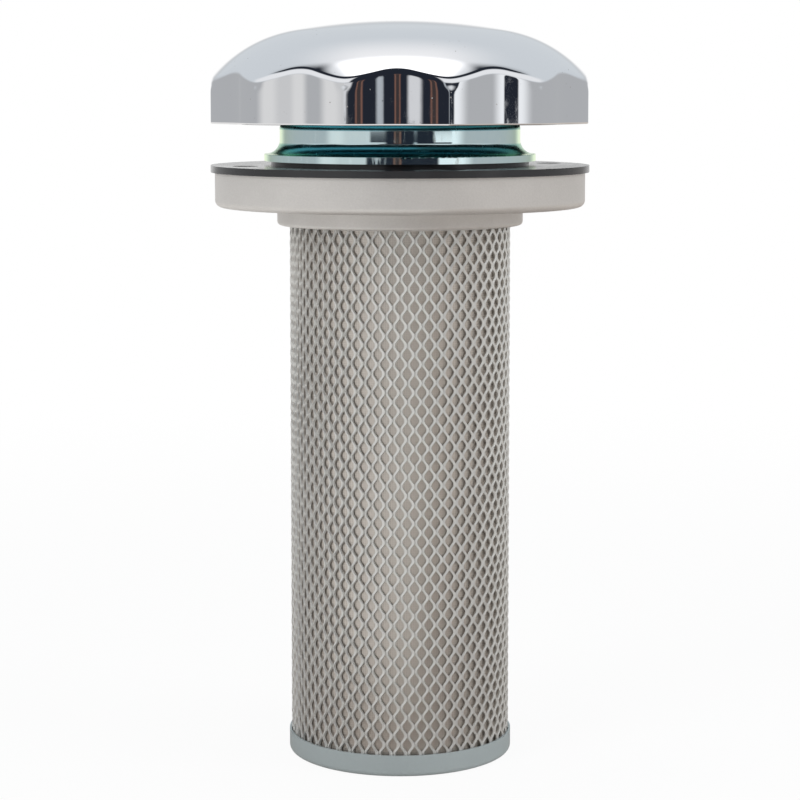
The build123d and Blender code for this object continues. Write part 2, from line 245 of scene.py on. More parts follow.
# %% The room's walls, lamp box and backdrop
below_ceiling = room_fall(elevation, 5, 18)
left_light = both(
    room_rise(azimuth, -77, -66),
    room_fall(azimuth, -60, -50, 0.6),
    room_fall(azimuth, -30, -20),
    below_ceiling,
)
right_light = both(room_rise(azimuth, 30, 34), room_fall(azimuth, 52, 66), below_ceiling)
backdrop = both(room_rise(off_centre, 140, 160), room_fall(elevation, 6, 14))
overhead = both(room_band(over_the_top, 78, 121, 4), room_fall(sideways, 15, 21))
glow = both(room_rise(over_the_top, 45, 78), room_fall(sideways, 8, 34))
panel_tops = both(
    room_rise(elevation, 8, 20), room_fall(elevation, 41, 50), room_fall(off_centre, 88, 112)
)

# %% The room's dark gaps and the strips that stand in them
low_front = room_fall(elevation, 5, 14)
above_sill = room_rise(elevation, -1.03, -0.93)
wide_gap = both(room_band(azimuth, -28, 32, 1.5), low_front)
narrow_gap = both(room_band(azimuth, -20, 14, 3), room_fall(elevation, 60, 70))
above_panels = both(room_band(elevation, 47, 66, 3), room_fall(off_centre, 110, 129))
slit = both(room_band(azimuth, 30, 50, 1.0), low_front, above_sill)
dark = either(wide_gap, narrow_gap, above_panels, slit)
strong_strip = both(room_band(azimuth, -30, -13.5, 2.5), low_front, above_sill)
weak_strip = both(room_band(azimuth, 13.0, 16, 1.4), low_front, above_sill)
warm_stripe = both(room_band(azimuth, -5.4, 1.0, 0.8), low_front)
stripe_middle = both(room_band(azimuth, -4.0, -0.6, 0.6), low_front)

# %% The room's coats of paint, from the first to the last
COATS = [
    (below_ceiling, (0.46, 0.47, 0.48)),
    (left_light, (0.75, 0.75, 0.74)),
    (right_light, (0.93, 0.95, 0.96)),
    (backdrop, (1.0, 1.0, 1.0)),
    (glow, (0.98, 0.98, 0.98)),
    (overhead, (1.7, 1.7, 1.7)),
    (panel_tops, (0.88, 0.89, 0.9)),
    (dark, (0.018, 0.022, 0.032)),
    (strong_strip, (0.7, 0.71, 0.72)),
    (weak_strip, (0.45, 0.49, 0.52)),
    (warm_stripe, (0.2, 0.105, 0.08)),
    (stripe_middle, (0.05, 0.04, 0.04)),
]
walls = rgb(0.66, 0.7, 0.73)
for mask, colour in COATS:
    walls = blend_colours(room, mask, walls, rgb(*colour))
paths = add(room, "ShaderNodeLightPath").outputs
seen = either(paths["Is Camera Ray"], paths["Is Transmission Ray"])
shown = blend_colours(room, seen, walls, rgb(1.0, 1.0, 1.0))
light = add(room, "ShaderNodeBackground", {"Color": shown, "Strength": 1.0})
add(room, "ShaderNodeOutputWorld", {"Surface": light.outputs[0]})
print("studio painted by", len(room.nodes), "nodes")

# %% [markdown]
# ## Floor and lamps
# The floor is a pale sheet. A plain white sheet would show its far edge and its own shading,
# and the photograph shows neither. So camera rays see the sheet almost as bright as the
# backdrop, with a share of real light in it, which keeps the object's faint shadow. Glossy
# rays see a bright sheet on the left and a dimmer one on the right, which is what turns one
# half of the wire cloth light and leaves the other half brown. Two soft boxes shape the rest.

# %% The floor
FLOOR_HALF_SIDE = 2.5
FLOOR_GAP = 0.02 * MM
floor_height = cad_low[2] - FLOOR_GAP
floor_mesh = bpy.data.meshes.new("floor")
floor_corners = [
    (FLOOR_HALF_SIDE * x, FLOOR_HALF_SIDE * y, floor_height)
    for x, y in ((-1, -1), (1, -1), (1, 1), (-1, 1))
]
floor_mesh.from_pydata(floor_corners, [], [(0, 1, 2, 3)])
floor = bpy.data.objects.new("floor", floor_mesh)
bpy.context.scene.collection.objects.link(floor)
print("floor at", round(float(floor_height) / MM, 2), "mm")

# %% The floor's two sheets, as glossy rays see them
BRIGHT_SIDE_EDGE = (0.24, 0.34)
BRIGHT_SIDE_START = (85 * MM, 100 * MM)
DIM_SHEET_FADE = (90 * MM, 350 * MM)

floor_material = bpy.data.materials.new("pale_floor")
floor_material.use_nodes = True
tree = floor_material.node_tree
tree.nodes.clear()
place = add(tree, "ShaderNodeTexCoord").outputs["Object"]
spot = add(tree, "ShaderNodeSeparateXYZ", {0: place}).outputs
squares = [math(tree, "POWER", spot[axis], 2.0) for axis in ("X", "Y")]
away = math(tree, "SQRT", math(tree, "ADD", *squares))
around = math(tree, "ARCTAN2", spot["X"], math(tree, "MULTIPLY", spot["Y"], -1.0))
on_the_left = rise(tree, around, *BRIGHT_SIDE_EDGE, 1.0, 0.0)
bright_side = math(tree, "MULTIPLY", on_the_left, rise(tree, away, *BRIGHT_SIDE_START))
far_out = rise(tree, away, *DIM_SHEET_FADE)
dim_sheet = blend_colours(tree, far_out, rgb(0.28, 0.24, 0.21), rgb(0.62, 0.57, 0.52))
sheet = blend_colours(tree, bright_side, dim_sheet, rgb(0.85, 0.84, 0.82))


# %% What each kind of ray sees of the floor
def blend_shaders(mask, first, second):
    """The first shader where the mask is 0 and the second where it is 1."""
    inputs = {0: mask, 1: first.outputs[0], 2: second.outputs[0]}
    return add(tree, "ShaderNodeMixShader", inputs)


WHITE_FADE = (150 * MM, 600 * MM)
WHITE_SHARES = (0.93, 1.0)
paths = add(tree, "ShaderNodeLightPath").outputs
reflected = add(tree, "ShaderNodeEmission", {"Color": sheet, "Strength": 1.0})
paper = add(tree, "ShaderNodeBsdfDiffuse", {"Color": rgb(0.75, 0.75, 0.75)})
white = add(tree, "ShaderNodeEmission", {"Color": rgb(1.0, 1.0, 1.0), "Strength": 1.0})
lit = blend_shaders(rise(tree, away, *WHITE_FADE, *WHITE_SHARES), paper, white)
by_camera = blend_shaders(paths["Is Camera Ray"], paper, lit)
by_gloss = blend_shaders(paths["Is Glossy Ray"], by_camera, reflected)
add(tree, "ShaderNodeOutputMaterial", {"Surface": by_gloss.outputs[0]})
floor_mesh.materials.append(floor_material)
print("floor finished with", len(tree.nodes), "nodes")

# %% The lamps
MIDDLE = (cad_low + cad_high) / 2


def lamp(name, place, side, power):
    """A square soft box that faces the object's middle, unseen by the camera and in mirrors."""
    data = bpy.data.lights.new(name, "AREA")
    data.shape = "SQUARE"
    data.size = side
    data.energy = power
    made = bpy.data.objects.new(name, data)
    made.location = place
    made.rotation_euler = (Vector(MIDDLE) - Vector(place)).to_track_quat("-Z", "Y").to_euler()
    made.visible_camera = False
    made.visible_glossy = False
    bpy.context.scene.collection.objects.link(made)
    print(name, "gives", power, "watts")


lamp("key_lamp", (-0.75, -0.75, 0.45), side=0.45, power=5.0)
lamp("side_lamp", (0.95, -0.35, 0.3), side=0.5, power=5.0)
bpy.context.scene.view_settings.view_transform = "Standard"

# %% [markdown]
# ## Surfaces from formulas
# A round piece is a grid: one direction runs round the axis and the other runs down the
# section. Spinning a drawn profile would do for a plain tube, but not for a skirt whose outline
# changes on its way down. Written as two arrays, radius and height, the whole grid is worked
# out at once, and the faces follow from the numbering. Where a section starts or ends on the
# axis, the grid closes in a fan of triangles round a single point.

# %% Grids round the axis
def mesh_object(name, corners, faces, material):
    """A smooth-shaded mesh object at the origin, from arrays of corners and of faces."""
    mesh = bpy.data.meshes.new(name)
    mesh.from_pydata(corners.tolist(), [], faces)
    mesh.shade_smooth()
    mesh.materials.append(material)
    made = bpy.data.objects.new(name, mesh)
    bpy.context.scene.collection.objects.link(made)
    return made


def grid_faces(rows, columns, wrap_rows):
    """Quads between neighbouring rows and columns. Columns always close; rows on request."""
    row = np.arange(rows if wrap_rows else rows - 1)[:, None]
    column = np.arange(columns)[None, :]
    below = (row + 1) % rows
    beside = (column + 1) % columns
    quads = np.stack(
        [
            row * columns + column,
            below * columns + column,
            below * columns + beside,
            row * columns + beside,
        ],
        axis=-1,
    )
    return quads.reshape(-1, 4).tolist()


def turned(radius, height, angle):
    """Points round the axis: radius times cosine, radius times sine, and the height."""
    points = np.stack([radius * np.cos(angle), radius * np.sin(angle), height], axis=-1)
    return points.reshape(-1, 3)


def lathe(name, radius, height, angle, material, poles=None):
    """A grid turned about the axis, closed by two poles or else from its last row to its first."""
    radius, height, angle = np.broadcast_arrays(radius, height, angle)
    rows, columns = radius.shape
    corners = turned(radius, height, angle)
    faces = grid_faces(rows, columns, wrap_rows=poles is None)
    if poles is not None:
        corners = np.vstack([corners, [[0, 0, poles[0]], [0, 0, poles[1]]]])
        column = np.arange(columns)
        beside = (column + 1) % columns
        top = np.full(columns, rows * columns)
        last = (rows - 1) * columns
        faces += np.stack([top, column, beside], axis=-1).tolist()
        faces += np.stack([top + 1, last + beside, last + column], axis=-1).tolist()
    made = mesh_object(name, corners, faces, material)
    print(name, "has", len(faces), "faces")
    return made


# %% [markdown]
# ## Finishes that several pieces share
# Metal is never quite even. A picture of real metal could be wrapped round each piece, but it
# would repeat and stretch, so both finishes are worked out from noise at each point. The first
# group is the pebbled grain of a blasted casting, the second the faint ripple, hairline marks
# and specks of dust on a polished pressing. Both give out only numbers that vary over the
# surface, which the materials then feed into roughness, colour and bump.

# %% The grain group
VALUE = "NodeSocketFloat"
VECTOR = "NodeSocketVector"
WIDE_SCALE = 0.04

grain_group, ins, outs = open_group(
    "grain", {"Place": (VECTOR, None), "Size": (VALUE, 0.5)}, {"Height": VALUE, "Shade": VALUE}
)
grain_scale = math(grain_group, "DIVIDE", 1 / MM, ins.outputs["Size"])
fine = noise(grain_group, ins.outputs["Place"], grain_scale, 3.0)
wide_scale = math(grain_group, "MULTIPLY", grain_scale, WIDE_SCALE)
wide = noise(grain_group, ins.outputs["Place"], wide_scale, 4.0)
shade = plus(grain_group, math(grain_group, "MULTIPLY", wide, 0.5), fine, 0.5)
grain_group.links.new(fine, outs.inputs["Height"])
grain_group.links.new(shade, outs.inputs["Shade"])
print("the grain group has", len(grain_group.nodes), "nodes")

# %% The polish group
RIPPLE_SCALE = 420.0
HAIR_SCALE = 900.0
SPECK_SCALE = 620.0
DUST_SCALE = 150.0

polish_group, ins, outs = open_group(
    "polish",
    {"Place": (VECTOR, None), "Stretch": (VALUE, 1.0)},
    {"Ripple": VALUE, "Marks": VALUE, "Dust": VALUE},
)
place = ins.outputs["Place"]
ripple = noise(polish_group, place, RIPPLE_SCALE, 2.0)
stretch = add(polish_group, "ShaderNodeCombineXYZ", {0: 1.0, 1: 1.0, 2: ins.outputs["Stretch"]})
stretched = add(
    polish_group, "ShaderNodeVectorMath", {0: place, 1: stretch.outputs[0]}, operation="MULTIPLY"
)
marks = rise(polish_group, noise(polish_group, stretched.outputs[0], HAIR_SCALE, 4.0), 0.52, 0.72)
cells = add(
    polish_group, "ShaderNodeTexVoronoi", {"Vector": place, "Scale": SPECK_SCALE, "Randomness": 1.0}
)
speck = rise(polish_group, cells.outputs["Distance"], 0.06, 0.12, 1.0, 0.0)
dusty = rise(polish_group, noise(polish_group, place, DUST_SCALE, 2.0), 0.52, 0.62)
polish_group.links.new(ripple, outs.inputs["Ripple"])
polish_group.links.new(marks, outs.inputs["Marks"])
polish_group.links.new(math(polish_group, "MULTIPLY", speck, dusty), outs.inputs["Dust"])
print("the polish group has", len(polish_group.nodes), "nodes")


# %% A material's frame
def surface(name, colour, roughness, metallic=1.0, edge_tint=None):
    """A material, as (material, tree, shader, place), with its plain values on the shader."""
    material = bpy.data.materials.new(name)
    material.use_nodes = True
    tree = material.node_tree
    shader = tree.nodes["Principled BSDF"]
    shader.inputs["Base Color"].default_value = rgb(*colour)
    shader.inputs["Metallic"].default_value = metallic
    shader.inputs["Roughness"].default_value = roughness
    if edge_tint:
        shader.inputs["Specular Tint"].default_value = rgb(*edge_tint)
    place = add(tree, "ShaderNodeTexCoord").outputs["Object"]
    return material, tree, shader, place


def link(tree, source, shader, socket):
    """Joins a socket to one of the shader's inputs."""
    tree.links.new(source, shader.inputs[socket])


def bump(tree, shader, height, depth):
    """Feeds a height into the shader's normal, with its depth in metres."""
    relief = add(tree, "ShaderNodeBump", {"Strength": 1.0, "Distance": depth, "Height": height})
    link(tree, relief.outputs[0], shader, "Normal")


def grain_of(tree, place, size):
    """The grain group's outputs, for grains of a size in millimetres."""
    return use_group(tree, grain_group, {"Place": place, "Size": size})


def polish_of(tree, place, stretch):
    """The polish group's outputs, for marks drawn out upwards by one over the stretch."""
    return use_group(tree, polish_group, {"Place": place, "Stretch": stretch})


# %% [markdown]
# ## The chromed cap
# The cap is a dome whose skirt is pressed into twelve finger flutes. Seen from above, the
# skirt follows three arcs: a dished flute, a flank that bulges slightly, and a small rounded
# ridge where two flanks meet. Seen from the side, it is the crown's flat arc, the tighter
# knuckle, a small rounded shoulder and the straight skirt. Twelve dishes could be cut out of a
# smooth dome, but chrome shows every facet and every seam that such cuts leave. So the surface
# is worked out finely as one grid, with its columns crowded towards the sharp ridges.

# %% The outline of the skirt
FLUTES = 12
FIRST_FLUTE = -90.84 * DEGREE
HALF_STEP = np.pi / FLUTES
RIDGE_REACH = 42.0 * MM
FLUTE_DEPTH = 1.9 * MM
DISH_HALF_WIDTH = 3.4 * MM
DISH_RADIUS = 21.0 * MM
RIDGE_RADIUS = 2.0 * MM
SOFT_RECESS = 0.15 * MM
SOFTNESS = 0.12 * MM


def circle_reach(angle, centre, radius, far):
    """Where a ray from the axis meets a circle.

    It is the centre's share along the ray, plus or minus a half chord.
    """
    along = centre[0] * np.cos(angle) + centre[1] * np.sin(angle)
    across = centre[1] * np.cos(angle) - centre[0] * np.sin(angle)
    half_chord = np.sqrt(np.maximum(radius**2 - across**2, 0.0))
    return along + half_chord if far else along - half_chord


def skirt_reach(angle, inset):
    """The skirt's distance from the axis, at an angle from the middle of a flute.

    Over the dish it is the near side of a large circle that lies outside. Then comes the far
    side of the flank's circle, which leaves the dish in the dish's own direction and makes for
    the ridge. A small circle inside the flanks of two neighbours rounds the ridge itself.
    """
    ridge = RIDGE_REACH - inset
    dish = DISH_RADIUS + inset
    dish_centre = np.array([ridge - FLUTE_DEPTH + dish, 0.0])
    touch = dish_centre + [-np.sqrt(dish**2 - DISH_HALF_WIDTH**2), DISH_HALF_WIDTH]
    inward = (touch - dish_centre) / dish
    bisector = np.array([np.cos(HALF_STEP), np.sin(HALF_STEP)])
    chord = ridge * bisector - touch
    flank = (chord @ chord) / (2 * chord @ inward)
    flank_centre = touch + flank * inward
    small = RIDGE_RADIUS - inset
    along = flank_centre @ bisector
    onward = np.sqrt(along**2 - flank_centre @ flank_centre + (flank - small) ** 2)
    ridge_centre = bisector * (along + onward)
    leave = flank_centre + (ridge_centre - flank_centre) * flank / (flank - small)
    reach = circle_reach(angle, ridge_centre, small, far=True)
    on_flank = circle_reach(angle, flank_centre, flank, far=True)
    reach = np.where(angle < np.arctan2(leave[1], leave[0]), on_flank, reach)
    in_dish = circle_reach(angle, dish_centre, dish, far=False)
    return np.where(angle < np.arctan2(touch[1], touch[0]), in_dish, reach)


def shoulder_reach(angle, inset):
    """The softer outline at the shoulder: the smaller of the sharp one and a circle, rounded off.

    The circle lies just inside the ridges. Each length is divided by the softness and its
    negative raised to a power of e. The logarithm of the sum of both gives a length that follows
    the smaller one and rounds the corner where they cross.
    """
    limit = RIDGE_REACH - inset - SOFT_RECESS
    return -SOFTNESS * np.logaddexp(-limit / SOFTNESS, -skirt_reach(angle, inset) / SOFTNESS)


# %% The dome's section
CAP_TOP = cad_high[2]
CAP_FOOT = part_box("cap_shell")[0][2]
SHELL_WALL = 1.0 * MM
CROWN_RADIUS = 130.0 * MM
KNUCKLE_RADIUS = 30.4 * MM
KNUCKLE_START = 23.6 * MM
SHOULDER_RADIUS = 2.6 * MM
RIM_ROUND = 0.3 * MM
FADE_LENGTH = 1.5 * MM
CROWN_ROWS = 12
KNUCKLE_ROWS = 22
SHOULDER_ROWS = 13
WALL_ROWS = 13
RIM_ROWS = 4
FIRST_ROW = 0.07
LAST_ROW = 0.99
WALL_CROWDING = 1.5
crown_slope = np.arcsin(KNUCKLE_START / CROWN_RADIUS)
crown_height = CAP_TOP - CROWN_RADIUS
knuckle_across = (CROWN_RADIUS - KNUCKLE_RADIUS) * np.sin(crown_slope)
knuckle_height = crown_height + (CROWN_RADIUS - KNUCKLE_RADIUS) * np.cos(crown_slope)


def spread(first, last, count, skip=0):
    """Evenly spaced rows from first to last, which may differ from column to column."""
    share = np.linspace(0, 1, count)[skip:, None]
    return first + (last - first) * share


def cap_section(reach, skirt, inset):
    """Radius and height of one wall of the cap, from near the top down to the foot of the skirt.

    The crown is an arc about a centre far below, the knuckle an arc that carries it on in the
    same direction. A ball of the shoulder's radius that touches both the knuckle and the upright
    skirt gives the shoulder: its centre stands one ball radius inside the skirt. Below the
    shoulder the soft outline changes into the skirt's sharp one by a smooth step over the fade
    length.
    """
    crown = CROWN_RADIUS - inset
    knuckle = KNUCKLE_RADIUS - inset
    ball = SHOULDER_RADIUS - inset
    end = np.arcsin((reach - ball - knuckle_across) / (knuckle - ball))
    ball_height = knuckle_height + (knuckle - ball) * np.cos(end)
    on_crown = spread(FIRST_ROW * crown_slope, crown_slope, CROWN_ROWS) + 0 * reach
    on_knuckle = spread(crown_slope, end, KNUCKLE_ROWS, skip=1)
    on_ball = spread(end, np.pi / 2, SHOULDER_ROWS, skip=1)
    wall_share = LAST_ROW * np.linspace(0, 1, WALL_ROWS)[1:] ** WALL_CROWDING
    wall_share = np.append(wall_share, 1.0)[:, None]
    on_wall = ball_height + (CAP_FOOT + RIM_ROUND - ball_height) * wall_share
    faded = np.clip((ball_height - on_wall) / FADE_LENGTH, 0, 1)
    wall_reach = reach + (skirt - reach) * faded**2 * (3 - 2 * faded)
    radius = [
        crown * np.sin(on_crown),
        knuckle_across + knuckle * np.sin(on_knuckle),
        reach - ball + ball * np.sin(on_ball),
        wall_reach,
    ]
    height = [
        crown_height + crown * np.cos(on_crown),
        knuckle_height + knuckle * np.cos(on_knuckle),
        ball_height + ball * np.cos(on_ball),
        on_wall,
    ]
    return np.vstack(radius), np.vstack(height)


# %% The cap's grid
COLUMNS_PER_FLUTE = 40
CROWDING = 0.4
share = np.linspace(-1, 1, COLUMNS_PER_FLUTE, endpoint=False)
in_flute = HALF_STEP * ((1 + CROWDING) * share - CROWDING * share**3)
turns = FIRST_FLUTE + 2 * HALF_STEP * np.arange(FLUTES)[:, None]
cap_angle = (turns + in_flute[None, :]).reshape(1, -1)
local_angle = np.tile(np.abs(in_flute), FLUTES)[None, :]
outer_reach = skirt_reach(local_angle, 0.0)
inner_reach = skirt_reach(local_angle, SHELL_WALL)
outer_radius, outer_height = cap_section(shoulder_reach(local_angle, 0.0), outer_reach, 0.0)
inner_shoulder = shoulder_reach(local_angle, SHELL_WALL)
inner_radius, inner_height = cap_section(inner_shoulder, inner_reach, SHELL_WALL)
rim_turn = spread(0.0, -np.pi / 2, RIM_ROWS, skip=1)
rim_radius = np.vstack(
    [
        outer_reach - RIM_ROUND + RIM_ROUND * np.cos(rim_turn),
        inner_reach + RIM_ROUND - RIM_ROUND * np.cos(rim_turn[::-1]),
    ]
)
rim_drop = np.vstack([np.sin(rim_turn), np.sin(rim_turn[::-1])])
rim_height = CAP_FOOT + RIM_ROUND + RIM_ROUND * rim_drop + 0 * outer_reach
cap_radius = np.vstack([outer_radius, rim_radius, inner_radius[::-1]])
cap_height = np.vstack([outer_height, rim_height, inner_height[::-1]])
print("the cap's grid has", cap_radius.shape[0], "rows and", cap_radius.shape[1], "columns")


# %% Chrome
def chrome_material():
    """Bright chrome with the faint ripple of a pressing and a little dust, and a dull inside."""
    material, tree, shader, place = surface("mirror_chrome", (0.86, 0.865, 0.89), 0.03)
    polish = polish_of(tree, place, 0.3)
    inside = add(tree, "ShaderNodeAttribute", attribute_name="inside").outputs["Fac"]
    rough = plus(tree, 0.025, polish["Marks"], 0.05)
    rough = plus(tree, rough, polish["Dust"], 0.5)
    link(tree, plus(tree, rough, inside, 0.4), shader, "Roughness")
    colour = blend_colours(tree, polish["Dust"], rgb(0.86, 0.865, 0.89), rgb(0.5, 0.49, 0.48))
    colour = blend_colours(tree, inside, colour, rgb(0.3, 0.3, 0.31))
    link(tree, colour, shader, "Base Color")
    bump(tree, shader, polish["Ripple"], 0.002 * MM)
    return material


cap_poles = (CAP_TOP, CAP_TOP - SHELL_WALL)
cap = lathe("chromed_cap", cap_radius, cap_height, cap_angle, chrome_material(), cap_poles)
face_row = np.arange(len(cap.data.polygons)) // cap_angle.size
first_inside = len(outer_radius) + len(rim_radius) // 2
crown_fan = len(cap_radius) - 1
inside = (face_row >= first_inside) & (face_row != crown_fan)
inside_mark = cap.data.attributes.new("inside", "FLOAT", "FACE")
inside_mark.data.foreach_set("value", inside.astype(np.float32))
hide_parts("cap_shell")
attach(cap, "cap")

# %% [markdown]
# ## The expanded metal
# Expanded metal is a sheet that was slit in staggered rows and pulled apart, so that it is
# all one piece of zigzag strands joined at short bonds. Drawing each diamond as a hole would
# take many thousands of cuts. Here the sheet is built from its strands: each one is a flat
# bar that swings left and right on its way down, its neighbours swing the other way, and
# where two meet they form a bond. A bar lies a little turned to the sheet, as the pulling
# leaves it, and that is what makes the real metal glitter.

# %% The strands
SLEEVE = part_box("expanded_sleeve")
SLEEVE_TOP = SLEEVE[1][2]
SLEEVE_FOOT = SLEEVE[0][2]
SLEEVE_RADIUS = SLEEVE[1][0]
STRANDS = 96
DIAMOND_ROWS = 30
SAMPLES_PER_ROW = 8
BAR_WIDTH = 0.6 * MM
BAR_THICKNESS = 0.45 * MM
BAR_TURN = 25 * DEGREE
BAR_SHARP_EDGE = 60 * DEGREE
SIDE_STRAIGHTNESS = 0.93
BOND_LENGTH = 1.2
strand_step = 2 * np.pi / STRANDS
half_depth = (BAR_WIDTH * np.sin(BAR_TURN) + BAR_THICKNESS * np.cos(BAR_TURN)) / 2
lift = BAR_WIDTH / 2 * np.sin(BAR_TURN)
bar_radius = SLEEVE_RADIUS - half_depth - lift
swing = (bar_radius * strand_step - BAR_WIDTH * np.cos(BAR_TURN)) / 2


def bars():
    """Corners and faces of every strand.

    Down its length a bar's middle moves sideways by swing times a zigzag with rounded corners:
    the arc sine of a slightly lowered cosine gives the straight sides, and a hyperbolic tangent
    of that draws out the bonds. Both are divided by their own largest value. Odd and even bars
    swing opposite ways. Each section is a rectangle turned about the upright, laid out by its
    share across and its share through.
    """
    rows = DIAMOND_ROWS * SAMPLES_PER_ROW + 1
    bar = np.arange(STRANDS)[:, None, None]
    down = np.linspace(0, 1, rows)[None, :, None]
    zigzag = np.arcsin(SIDE_STRAIGHTNESS * np.cos(2 * np.pi * DIAMOND_ROWS * down))
    zigzag = zigzag / np.arcsin(SIDE_STRAIGHTNESS)
    wave = np.tanh(BOND_LENGTH * zigzag) / np.tanh(BOND_LENGTH)
    side = np.where(bar % 2 == 0, 1.0, -1.0) * wave
    across = np.array([-0.5, 0.5, 0.5, -0.5]) * BAR_WIDTH
    through = np.array([-0.5, -0.5, 0.5, 0.5]) * BAR_THICKNESS
    out = bar_radius + lift * side + across * np.sin(BAR_TURN) + through * np.cos(BAR_TURN)
    along = swing * side + across * np.cos(BAR_TURN) - through * np.sin(BAR_TURN)
    angle = (bar + 0.5) * strand_step + along / bar_radius
    height = SLEEVE_TOP + (SLEEVE_FOOT - SLEEVE_TOP) * down + 0 * angle
    sides = np.array(grid_faces(rows, 4, wrap_rows=False))
    ends = np.array([[0, 1, 2, 3], np.arange(4)[::-1] + 4 * (rows - 1)])
    one = np.vstack([sides, ends])
    faces = (one[None, :, :] + 4 * rows * np.arange(STRANDS)[:, None, None]).reshape(-1, 4)
    return turned(out, height, angle), faces.tolist()


# %% Tinned steel
def tinned_steel():
    """Soft grey tinned steel, brighter and smoother where the rolls have touched it."""
    material, tree, shader, place = surface("tinned_steel", (0.77, 0.77, 0.75), 0.45, metallic=0.6)
    grain = grain_of(tree, place, 0.8)
    colour = blend_colours(tree, grain["Shade"], rgb(0.66, 0.655, 0.63), rgb(0.79, 0.785, 0.76))
    link(tree, colour, shader, "Base Color")
    link(tree, rise(tree, grain["Shade"], 0.3, 0.7, 0.4, 0.55), shader, "Roughness")
    return material


strand_corners, strand_faces = bars()
strands = mesh_object("expanded_metal", strand_corners, strand_faces, tinned_steel())
strands.data.set_sharp_from_angle(angle=BAR_SHARP_EDGE)
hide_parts("expanded_sleeve")
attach(strands, "root")
print("strands have", len(strand_faces), "faces; swing in mm", round(swing / MM, 3))

# %% [markdown]
# ## The wire cloth
# Behind the strands lies a cloth of fine wire. It is too fine to draw wire by wire, so the
# cloth is a thin tube with a weave in its finish: two sets of half-round ridges that pass
# over and under each other, with painted shade in the gaps between them. The tube carries its
# own map, in metres round and down, so the weave runs true to the wires.

# %% The weave group
weave_group, ins, outs = open_group(
    "weave", {"Place": (VECTOR, None), "Pitch": (VALUE, 0.5)}, {"Height": VALUE, "Gap Shade": VALUE}
)
cell_size = math(weave_group, "DIVIDE", np.pi / MM, ins.outputs["Pitch"])
run = add(weave_group, "ShaderNodeSeparateXYZ", {0: ins.outputs["Place"]}).outputs
warp, weft = (
    math(weave_group, "SINE", math(weave_group, "MULTIPLY", run[way], cell_size))
    for way in ("X", "Y")
)
over = math(weave_group, "MULTIPLY", warp, weft)
warp = math(weave_group, "ABSOLUTE", warp)
weft = math(weave_group, "ABSOLUTE", weft)
crest = math(weave_group, "MAXIMUM", warp, weft)
weave_group.links.new(plus(weave_group, crest, over, 0.3), outs.inputs["Height"])
# The gap output is painted shade: it is 1 where the ridges fall away, where the dark inside would
# show through.
weave_group.links.new(rise(weave_group, crest, 0.45, 0.75, 1.0, 0.0), outs.inputs["Gap Shade"])
print("the weave group has", len(weave_group.nodes), "nodes")

# %% The cloth's tube
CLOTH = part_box("filter_cloth")
CLOTH_RADIUS = CLOTH[1][0]
CLOTH_THICKNESS = 0.3 * MM
CLOTH_COLUMNS = 180
CLOTH_ROWS = 60
WAVE_DEPTH = 0.05 * MM
cloth_angle = np.linspace(0, 2 * np.pi, CLOTH_COLUMNS, endpoint=False)[None, :]
cloth_down = np.linspace(0, 1, CLOTH_ROWS)[:, None]
slanting_wave = np.sin(9 * cloth_angle + 14 * cloth_down)
level_wave = np.sin(23 * cloth_down)
buckle = WAVE_DEPTH * (0.5 + 0.25 * slanting_wave + 0.25 * level_wave)
cloth_face = CLOTH_RADIUS - buckle
cloth_height = CLOTH[1][2] + (CLOTH[0][2] - CLOTH[1][2]) * cloth_down + 0 * cloth_angle


def cloth_material():
    """Dull brown-grey wire, with painted shade in the gaps between the wires for the dark inside
    that shows through.
    """
    material, tree, shader, _ = surface("wire_cloth", (0.5, 0.46, 0.42), 0.3, metallic=0.7)
    map_place = add(tree, "ShaderNodeUVMap", uv_map="cloth").outputs[0]
    weave = use_group(tree, weave_group, {"Place": map_place, "Pitch": 0.5})
    # Painted shade: the gaps are coloured dark for the inside seen through the open weave.
    colour = blend_colours(tree, weave["Gap Shade"], rgb(0.64, 0.59, 0.54), rgb(0.34, 0.31, 0.28))
    link(tree, colour, shader, "Base Color")
    bump(tree, shader, weave["Height"], 0.02 * MM)
    return material


cloth_back = cloth_face[::-1] - CLOTH_THICKNESS + WAVE_DEPTH
cloth = lathe(
    "wire_cloth",
    np.vstack([cloth_face, cloth_back]),
    np.vstack([cloth_height, cloth_height[::-1]]),
    cloth_angle,
    cloth_material(),
)

# %% The cloth's map, whose last column of faces runs on past the seam
cloth_map = cloth.data.uv_layers.new(name="cloth")
cloth_corners = np.array([corner.vertex_index for corner in cloth.data.loops])
cloth_row, cloth_column = np.divmod(cloth_corners, CLOTH_COLUMNS)
last_column = np.repeat(cloth_column.reshape(-1, 4).max(axis=1), 4)
wrapped = (last_column == CLOTH_COLUMNS - 1) & (cloth_column == 0)
column_width = 2 * np.pi * CLOTH_RADIUS / CLOTH_COLUMNS
cloth_round = (cloth_column + CLOTH_COLUMNS * wrapped) * column_width
cloth_fall = np.concatenate([cloth_height[:, 0], cloth_height[::-1, 0]])[cloth_row]
cloth_map.data.foreach_set("uv", np.stack([cloth_round, cloth_fall], axis=-1).ravel())
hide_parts("filter_cloth")
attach(cloth, "root")
print("the cloth's map is", round(float(cloth_round.max()) / MM, 1), "mm round")

# %% [markdown]
# ## Finishes for the solids that stay
# The other pieces keep their solids' shape. Each gets the finish of its real stuff: bright zinc
# on the neck and the small pressings, a blasted skin on the aluminium casting, black rubber, a
# matte grey pressing for the cup, and open foam in the breather. A solid comes as loose flat
# triangles, which would show as facets in bright plating. So the neck, the gasket, the flange
# and the cup are copied, their triangles joined, and their round faces shaded smoothly. The
# neck mirrors the room like the cap does, and averaged normals would bend that picture. So its
# normals come from the arcs of its section.

# %% Smooth copies of the solids that show most
JOIN_DISTANCE = 0.0005 * MM
SHARP_EDGE = 25 * DEGREE


